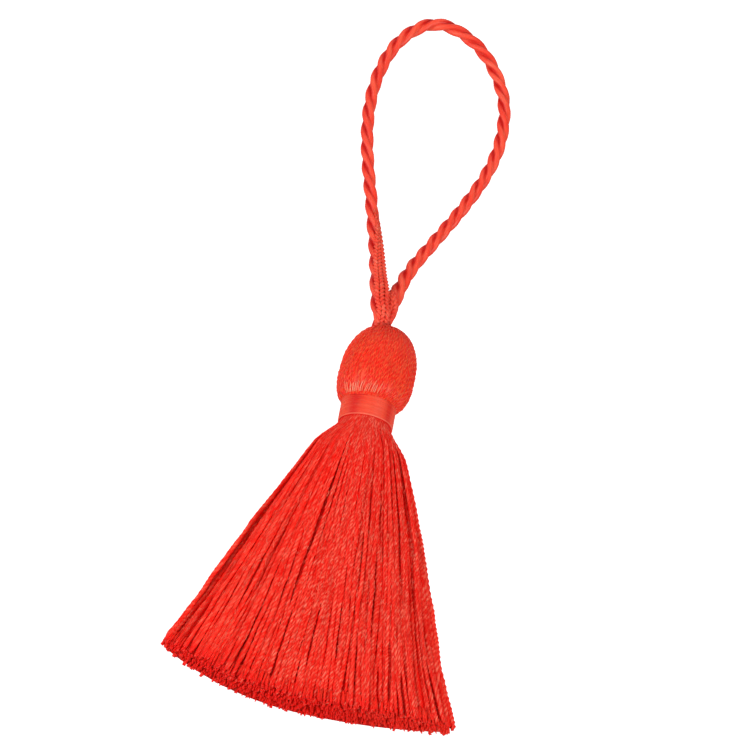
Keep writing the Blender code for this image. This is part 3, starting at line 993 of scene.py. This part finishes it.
def rows_under(side):
    """The same for a place across the fan, from -1 at the left to 1."""
    return rows_at(((side + 1) / 2 * (ACROSS - 1) - 1) / YARNS_ABREAST)


def yarn_detail(row, rows, side):
    """Points in a turn and the piece that a yarn belongs to, or None where the core hides it."""
    from_top = rows - 1 - row
    if from_top < 4 or (abs(side) > 0.9 and row > 0):
        return 12, "skirt_top_left" if side < 0.1 else "skirt_top_right"
    if from_top < 7:
        return 8, "skirt_second"
    return (8, "skirt_under") if row < 3 else (0, None)


def skirt_yarn(rng, column, row, rows, lock, over=False):
    """One yarn and its piece. over is for a yarn that lies on top of the regular ones."""
    layer, abreast = divmod(row, YARNS_ABREAST)
    place = column * YARNS_ABREAST + abreast
    inner = 1 - smoothstep(0.8, 0.95, abs(2 * place / (ACROSS - 1) - 1))
    place += (lock["middle"] - place) * lock["pinch"] * inner + (0.25 if layer % 2 else -0.25)
    side = 2 * (place + rng.uniform(-0.3, 0.3) * inner) / (ACROSS - 1) - 1
    reach = float(reach_of(side))
    shorter = 0.4 * MM + TOP_SHORTER * row / max(rows - 1, 1) if rows > 4 else 0.3 * MM
    cut_at = 1 + (0.45 * MM * rng.uniform(-1, 1) + lock["longer"] - shorter) / reach
    pitch = YARN_LAY - YARN_LAY_LESS * smoothstep(-0.6, 0.2, side)
    pitch = pitch * rng.uniform(*YARN_UNEVEN) * MM
    per_turn, piece = yarn_detail(row, rows, side)
    if not piece:
        return None, None
    share = np.linspace(-0.02, cut_at, max(30, int(reach / pitch * per_turn)))
    inner = 1 - smoothstep(0.86, 1.0, abs(side))
    drift = rng.gauss(0, YARN_DRIFT[over]) * inner * (1.7 * share - 0.8)
    sides_along = np.clip(side + drift, -1.0, 1.0)
    line = fan_line(rng, rows_at(column)[0], sides_along, layer, abreast, rows, share, lock)
    end = (cut_at - share) * reach
    narrower = OVER_NARROWER if over else 1.0
    radius = yarn_width(share) / 2 * narrower * rng.uniform(*YARN_UNEVEN)
    radius = radius * (1 + EDGE_WIDER[0] * smoothstep(*EDGE_WIDER[1:], abs(side)))
    radius = radius * (1 + 0.05 * ripple(rng, share, 5, 11))
    radius = radius * (1 - TIP_NARROWER[0] * bell(end, TIP_NARROWER[1]))
    if over:
        line[:, 2] += rng.uniform(*OVER_LIFT) * MM * smoothstep(0.02, 0.2, share)
    if YARNS_ABREAST <= rows - 1 - row < 2 * YARNS_ABREAST:
        line[:, 2] += SECOND_LIFT * smoothstep(0.05, 0.3, share)
    line[:, 2] = np.maximum(line[:, 2], radius + CLEARANCE)
    uneven = 0.18 * ripple(rng, share, 3, 7)
    turns = -math.tau * (share * reach / pitch + uneven) + rng.uniform(0, math.tau)
    dark = rng.uniform(0, 0.5)
    satin = 1 - smoothstep(*SATIN, side)
    low_down = smoothstep(0.1, 0.75, share)[:, None]
    # The yarns near the neck get painted shade.
    packed = NECK_SHADE * (1 - smoothstep(0.05, 0.45, share))[:, None]
    section = three_ply()
    grooved = section[1] < CREST
    # Pale flecks on the crests, a painted highlight.
    bright = flecks(rng, share * reach, 6, *YARN_CREST_HIGHLIGHT, 3).clip(0, 1)
    length, less, more = YARN_FLECKS
    split = END_SPLIT[0] * bell(end, END_SPLIT[1])
    dark = flecks(rng, share * reach, 6, length, dark + less, dark + more, 3)
    cut = TIP_CUT[0] - TIP_CUT[1] * smoothstep(*CUT_LESS, side)
    # The flanks and grooves get painted shade, and the dark flecks change at random.
    made = tube(
        line,
        upright(line),
        radius,
        turns,
        section,
        relief=(1 + 0.22 * satin * grooved) * (1 - split[:, None] * grooved),
        tint=GROOVE_SHADE_TINT * (1 - 0.5 * satin),
        flank_shade=0.92 * (YARN_FLANK_SHADE[0] + YARN_FLANK_SHADE[1] * smoothstep(0.0, 0.12, share)[:, None]),
        rise=(0.62 - 0.4 * low_down, 0.985 - 0.07 * low_down),
        dark=(dark + packed).clip(0, 1),
        cut=cut * bell(end, TIP_CUT[2]),
        pale=((0.9 - 0.5 * satin) * bright + 0.02) * (section[1] > CREST),
        offset=rng.uniform(0, 900),
    )
    return piece, made


def skirt_core():
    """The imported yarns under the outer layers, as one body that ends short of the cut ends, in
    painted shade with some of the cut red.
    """
    share = np.linspace(0.0, CORE_END[0], CORE_ROWS)[:, None]
    side = np.linspace(-CORE_HALF, CORE_HALF, CORE_COLUMNS)[None, :]
    x_root, rows = rows_under(side)
    low_share = share * CORE_END[1] / CORE_END[0]
    x, y = fan_place(x_root, side, share)
    low_x, low_y = fan_place(x_root, side, low_share)
    top = fan_height(np.maximum((rows - 1) / YARNS_ABREAST - CORE_DEPTH, 0.1), rows, share)[0]
    bottom = fan_height(0.0, rows, low_share)[0]
    upper = np.stack([x, y, np.maximum(top, bottom + 0.1 * MM)], axis=-1)
    lower = np.stack([low_x, low_y, bottom], axis=-1)
    ring = np.concatenate([upper, lower[:, ::-1]], axis=1)
    return skin(ring, ring[0].mean(0), ring[-1].mean(0), ring / MM, shade=0.7, cut=0.3)


def cut_end(rng):
    """The last few millimetres of a yarn deep in the skirt, seen end on."""
    side = rng.uniform(-0.97, 0.97)
    x_root, rows = rows_under(side)
    layer = rng.uniform(0, 1) * float(rows - 1) / YARNS_ABREAST
    reach = float(reach_of(side))
    shorter = 0.3 * MM + TOP_SHORTER * layer * YARNS_ABREAST / max(float(rows) - 1, 1)
    cut_at = 1 + (rng.triangular(-0.9, 0.4, 0.1) * MM - shorter) / reach
    share = np.linspace(cut_at - CUT_END_LENGTH / reach, cut_at, len(CUT_END_TAPER))
    x, y = fan_place(x_root, side + 0.2 * rng.uniform(-1, 1) * (share - cut_at), share)
    radius = rng.uniform(*CUT_END_RADIUS) * MM * CUT_END_TAPER
    z = np.maximum(fan_height(layer, rows, share)[0], radius + CLEARANCE)
    line = np.stack([x, y, z], axis=1)
    cut = CUT_END_CUT[0] - CUT_END_CUT[1] * smoothstep(*CUT_LESS, side)
    cut = cut * bell((cut_at - share) * reach, CUT_END_CUT[2])
    turns = np.zeros_like(share)
    # Each stub gets a random amount of painted shade.
    shade = rng.uniform(0.0, 0.5)
    return tube(line, upright(line), radius, turns, round_section(5), shade=shade, cut=cut)


def fuzz_hair(rng):
    """A loose fibre that lies in a curl on the top of the skirt."""
    side = rng.triangular(-0.9, 0.93, 0.35)
    start = rng.triangular(0.06, 0.93, 0.35)
    reach = float(reach_of(side))
    length = rng.uniform(*FUZZ_LENGTH) * MM
    along = np.linspace(0, 1, FUZZ_POINTS)
    share = start + length / reach * along
    x_root, rows = rows_under(side)
    askew = 0.012 * rng.uniform(-1, 1) * np.linspace(-1, 1, FUZZ_POINTS)
    x, y = fan_place(x_root, side + askew, share)
    x = x + wave(rng, along, (0.4, 1.0), 0.09 * MM)
    z = fan_height((float(rows) - 1) / YARNS_ABREAST, rows, share)[0] + yarn_width(share) / 2
    z = z + rng.uniform(-0.05, 0.25) * MM + wave(rng, along, (0.4, 0.9), 0.06 * MM)
    line = np.stack([x, y, z], axis=1)
    radius = rng.uniform(*FUZZ_RADIUS) * MM * np.ones(FUZZ_POINTS)
    turns = np.zeros(FUZZ_POINTS)
    # The hair is made pale, a painted highlight.
    pale = rng.uniform(*FUZZ_PALE)
    return tube(line, upright(line), radius, turns, round_section(4), pale=pale)


def extra_yarn(rng, locks, column, over):
    """One more yarn between the regular ones, on the top or in the lowest layers."""
    rows = round(float(rows_at(column)[1]))
    row = rows - 1 if over else rng.randint(1, min(rows - 1, 5))
    layer, abreast = divmod(row, YARNS_ABREAST)
    lock = locks[layer][round(column * YARNS_ABREAST + abreast)]
    return skirt_yarn(rng, column, row, rows, lock, over)


def build_skirt(material):
    rng = random.Random(21)
    layers = math.ceil(COLUMNS / YARNS_ABREAST)
    locks = [make_locks(rng) for _ in range(layers)]
    yarns = []
    for column in range(COLUMNS):
        rows = round(float(rows_at(column)[1]))
        for row in range(rows):
            layer, abreast = divmod(row, YARNS_ABREAST)
            lock = locks[layer][column * YARNS_ABREAST + abreast]
            yarns.append(skirt_yarn(rng, column, row, rows, lock))
    for yarn in range(OVER_YARNS):
        column = 0.6 + (COLUMNS - 2.2) * (yarn + rng.random()) / OVER_YARNS
        piece = "skirt_over_left" if column < 0.55 * COLUMNS else "skirt_over_right"
        yarns.append((piece, extra_yarn(rng, locks, column, True)[1]))
    for _ in range(FILL_YARNS):
        edge = rng.choice((rng.uniform(0.1, 1.5), COLUMNS - 1.2 - rng.uniform(0.0, 1.4)))
        yarns.append(extra_yarn(rng, locks, edge, False))
    yarns.extend(("skirt_cut_ends", cut_end(rng)) for _ in range(CUT_ENDS))
    yarns.extend(("skirt_fuzz", fuzz_hair(rng)) for _ in range(FUZZ_HAIRS))
    yarns.append(("skirt_core", skirt_core()))
    for name in sorted({piece for piece, _ in yarns if piece}):
        made = [yarn for piece, yarn in yarns if piece == name]
        place_piece(join_tubes(name, made, material), "skirt")


# Stage

def add_area(name, place, size, power):
    data = bpy.data.lights.new(name, "AREA")
    data.size = size
    data.energy = power
    light = bpy.data.objects.new(name, data)
    light.location = place
    light.rotation_euler = (-Vector(place)).to_track_quat("-Z", "Y").to_euler()
    bpy.context.scene.collection.objects.link(light)


def build_stage():
    bpy.ops.mesh.primitive_plane_add(size=FLOOR_SIZE, location=(0, 0, -FLOOR_BELOW))
    floor = bpy.context.object
    floor.name = "floor"
    floor.data.materials.append(floor_material())
    # The floor's glow keeps its own shadows faint, and doesn't light the tassel.
    lit = bpy.data.collections.new("lit_by_floor")
    lit.objects.link(floor)
    floor.light_linking.receiver_collection = lit
    world = bpy.data.worlds.new("studio")
    world.use_nodes = True
    background = world.node_tree.nodes["Background"]
    background.inputs["Color"].default_value = (1, 1, 1, 1)
    background.inputs["Strength"].default_value = WORLD_STRENGTH
    bpy.context.scene.world = world
    bpy.context.scene.view_settings.view_transform = "Standard"
    for light in LIGHTS:
        add_area(*light)


def main():
    add_camera()
    build_stage()
    for name, build in (
        ("twisted_cord", build_cord),
        ("head_yarn", build_head),
        ("binding_thread", build_binding),
        ("skirt_yarn", build_skirt),
    ):
        build(yarn_material(name, **LOOKS[name]))


main()
